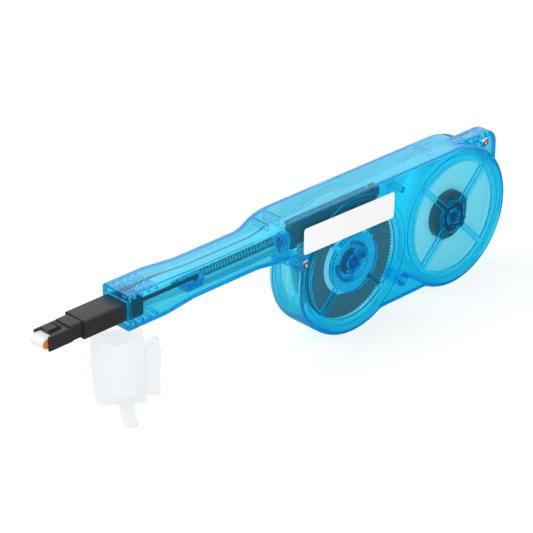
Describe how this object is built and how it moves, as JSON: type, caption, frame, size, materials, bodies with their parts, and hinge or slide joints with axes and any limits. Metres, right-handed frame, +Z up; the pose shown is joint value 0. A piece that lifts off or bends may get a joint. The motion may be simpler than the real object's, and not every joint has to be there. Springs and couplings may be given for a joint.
{
  "type": "fibre connector cleaning pen",
  "caption": "Click-to-clean tape tool for multi-fibre plugs and ports: clear blue two-reel body, long neck, black nozzle with orange pad, plain label and a loose frosted guide cap.",
  "frame": {"origin": "On the floor that the tool and its cap stand on, at the middle of the footprint.", "axes": "+X runs from the nozzle to the reels along the tool, +Y goes from the labelled face to the back face, +Z is up."},
  "size_m": [0.2284, 0.0364, 0.0576],
  "materials": {
    "housing_plastic": "clear cyan-blue moulded housing, see-through",
    "nozzle_plastic": "matte black moulding",
    "carrier_plastic": "blue inner slider",
    "rack_plastic": "black inner rack",
    "gear_plastic": "dark grey toothed disc",
    "reel_plastic": "black reel core",
    "light_plastic": "white take-up reel",
    "tape": "white woven cleaning tape",
    "pad_rubber": "orange soft pad",
    "label_film": "plain white film label, nothing printed on it",
    "screw_steel": "nickel-plated steel",
    "spring_steel": "bright spring wire",
    "cap_plastic": "frosted clear guide cap"
  },
  "bodies": {
    "housing": {"front_shell": "housing_plastic", "rear_shell": "housing_plastic", "housing_screws": "screw_steel", "label": "label_film", "friction_washer": "spring_steel", "feed_tape_run": "tape", "return_tape_run": "tape", "return_spring": "spring_steel", "guide_cap": "cap_plastic"},
    "slider": {"nozzle": "nozzle_plastic", "tip_pad": "pad_rubber", "tip_tape": "tape", "carrier": "carrier_plastic", "spring_guide_rod": "screw_steel", "rack_bar": "rack_plastic"},
    "gear": {"drive_gear": "gear_plastic"},
    "take_up": {"take_up_reel": "light_plastic", "take_up_tape": "tape", "pawl_ring": "gear_plastic"},
    "supply": {"supply_reel": "reel_plastic", "supply_tape": "tape"}
  },
  "joints": [
    {"name": "nozzle_slide", "type": "slide", "parent": "housing", "child": "slider", "axis": [1, 0, 0], "range_m": [0, 0.01], "stiffness_N_per_m": 300, "springref_m": -0.01, "deforming": ["return_spring", "feed_tape_run", "return_tape_run"]},
    {"name": "drive_gear_spin", "type": "hinge", "parent": "housing", "child": "gear", "pos_m": [0.03044, -0.00983, 0.0288], "axis": [0, 1, 0], "range_deg": [0, 26]},
    {"name": "take_up_spin", "type": "hinge", "parent": "housing", "child": "take_up", "pos_m": [0.03044, -0.00983, 0.0288], "axis": [0, 1, 0], "range_deg": [0, 26]},
    {"name": "supply_spin", "type": "hinge", "parent": "housing", "child": "supply", "pos_m": [0.08543, -0.00983, 0.0288], "axis": [0, 1, 0], "range_deg": [-13.5, 0]}
  ],
  "couplings": [
    {"joint": "drive_gear_spin", "follows": "nozzle_slide", "rad_per_m": 44.1},
    {"joint": "take_up_spin", "follows": "nozzle_slide", "rad_per_m": 44.1},
    {"joint": "supply_spin", "follows": "nozzle_slide", "rad_per_m": -22.761}
  ]
}
